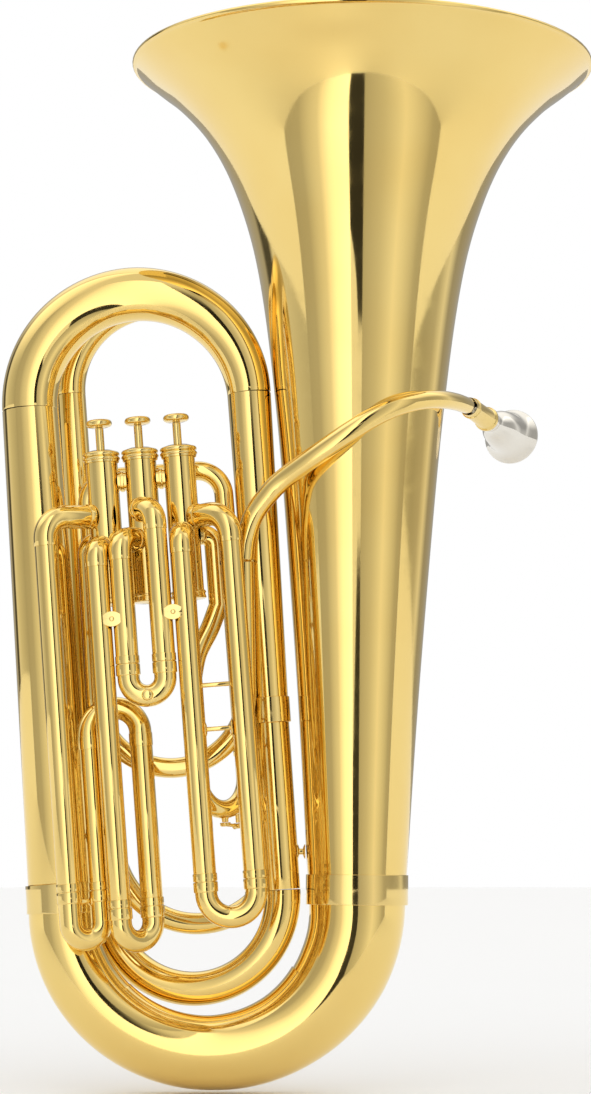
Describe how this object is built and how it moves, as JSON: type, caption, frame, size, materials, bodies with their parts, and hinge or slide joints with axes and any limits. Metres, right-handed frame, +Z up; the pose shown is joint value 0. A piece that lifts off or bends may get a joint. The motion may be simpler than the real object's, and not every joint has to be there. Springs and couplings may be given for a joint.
{
  "type": "tuba",
  "caption": "Upright tuba with a wide flared bell, front piston valves, pull-out slides with a water key, a curved mouthpipe and a removable mouthpiece.",
  "frame": {"origin": "centre of the bounding box, at the height of the lowest point of the bottom guard", "axes": "+Z up, along the bell towards its rim; +X across the tuba towards the mouthpiece; +Y away from the side that carries the valve slides"},
  "size_m": [0.4708, 0.3678, 0.8198],
  "materials": {
    "lacquered_brass": "polished, clear lacquer",
    "pale_brass": "satin, clear lacquer",
    "silver_plate": "polished silver plate",
    "nickel_steel": "polished"
  },
  "bodies": {
    "root": {"bell": "lacquered_brass", "bell_brace": "pale_brass", "bell_ferrule": "pale_brass", "bottom_bow": "lacquered_brass", "bottom_bow_ferrule": "pale_brass", "bottom_guard": "lacquered_brass", "crossover_tube": "lacquered_brass", "first_slide_inner_leg": "lacquered_brass", "first_slide_outer_leg": "lacquered_brass", "inlet_bow": "lacquered_brass", "inner_bottom_bow": "lacquered_brass", "inner_branch": "lacquered_brass", "inner_return_branch": "lacquered_brass", "inner_top_bow": "lacquered_brass", "left_tube_plate": "pale_brass", "lower_branch_brace": "pale_brass", "lower_return_branch": "lacquered_brass", "mouthpiece_receiver": "pale_brass", "mouthpipe": "lacquered_brass", "outer_branch": "lacquered_brass", "return_branch": "lacquered_brass", "return_ferrule": "pale_brass", "right_tube_plate": "pale_brass", "second_slide_left_leg": "lacquered_brass", "second_slide_right_leg": "lacquered_brass", "small_bottom_bow": "lacquered_brass", "third_slide_link": "lacquered_brass", "third_slide_outer_leg": "lacquered_brass", "third_slide_return_leg": "lacquered_brass", "top_bow": "lacquered_brass", "tuning_inlet_leg": "lacquered_brass", "upper_branch_brace": "pale_brass", "valve_bottom_cap_1": "pale_brass", "valve_bottom_cap_2": "pale_brass", "valve_bottom_cap_3": "pale_brass", "valve_casing_1": "lacquered_brass", "valve_casing_2": "lacquered_brass", "valve_casing_3": "lacquered_brass", "valve_knuckle_1": "lacquered_brass", "valve_knuckle_2": "lacquered_brass", "valve_spring_1": "nickel_steel", "valve_spring_2": "nickel_steel", "valve_spring_3": "nickel_steel", "valve_top_cap_1": "pale_brass", "valve_top_cap_2": "pale_brass", "valve_top_cap_3": "pale_brass"},
    "valve_1": {"valve_piston_1": "nickel_steel", "finger_button_1": "pale_brass"},
    "valve_2": {"valve_piston_2": "nickel_steel", "finger_button_2": "pale_brass"},
    "valve_3": {"valve_piston_3": "nickel_steel", "finger_button_3": "pale_brass"},
    "first_slide": {"first_slide_crook": "lacquered_brass"},
    "second_slide": {"second_slide_crook": "lacquered_brass"},
    "third_slide_outer": {"third_slide_outer_crook": "lacquered_brass"},
    "third_slide_inner": {"third_slide_inner_crook": "lacquered_brass"},
    "tuning_slide": {"main_tuning_slide": "lacquered_brass"},
    "water_key": {"water_key": "pale_brass"},
    "mouthpiece": {"mouthpiece": "silver_plate"}
  },
  "joints": [
    {"name": "valve_1_press", "type": "slide", "parent": "root", "child": "valve_1", "axis": [0.0753, 0, -0.9972], "range_m": [0, 0.0165], "stiffness_N_per_m": 200, "springref_m": -0.02, "deforming": ["valve_spring_1"]},
    {"name": "valve_2_press", "type": "slide", "parent": "root", "child": "valve_2", "axis": [0.0753, 0, -0.9972], "range_m": [0, 0.0165], "stiffness_N_per_m": 200, "springref_m": -0.02, "deforming": ["valve_spring_2"]},
    {"name": "valve_3_press", "type": "slide", "parent": "root", "child": "valve_3", "axis": [0.0753, 0, -0.9972], "range_m": [0, 0.0165], "stiffness_N_per_m": 200, "springref_m": -0.02, "deforming": ["valve_spring_3"]},
    {"name": "first_slide_pull", "type": "slide", "parent": "root", "child": "first_slide", "axis": [0.0753, 0, -0.9972], "range_m": [0, 0.06]},
    {"name": "second_slide_pull", "type": "slide", "parent": "root", "child": "second_slide", "axis": [0.0753, 0, -0.9972], "range_m": [0, 0.03]},
    {"name": "third_slide_outer_pull", "type": "slide", "parent": "root", "child": "third_slide_outer", "axis": [0.0753, 0, -0.9972], "range_m": [0, 0.06]},
    {"name": "third_slide_inner_pull", "type": "slide", "parent": "root", "child": "third_slide_inner", "axis": [0.0753, 0, -0.9972], "range_m": [0, 0.045]},
    {"name": "tuning_slide_pull", "type": "slide", "parent": "root", "child": "tuning_slide", "axis": [0.0753, 0, -0.9972], "range_m": [0, 0.04]},
    {"name": "water_key_press", "type": "hinge", "parent": "tuning_slide", "child": "water_key", "pos_m": [-0.04707, -0.00569, 0.20588], "axis": [0.6758, -0.7353, 0.0511], "range_deg": [0, 18], "stiffness_Nm_per_rad": 0.05, "springref_deg": -5.73},
    {"name": "mouthpiece_pull", "type": "slide", "parent": "root", "child": "mouthpiece", "axis": [0.3703, 0.9259, -0.0751], "range_m": [0, 0.02]}
  ]
}
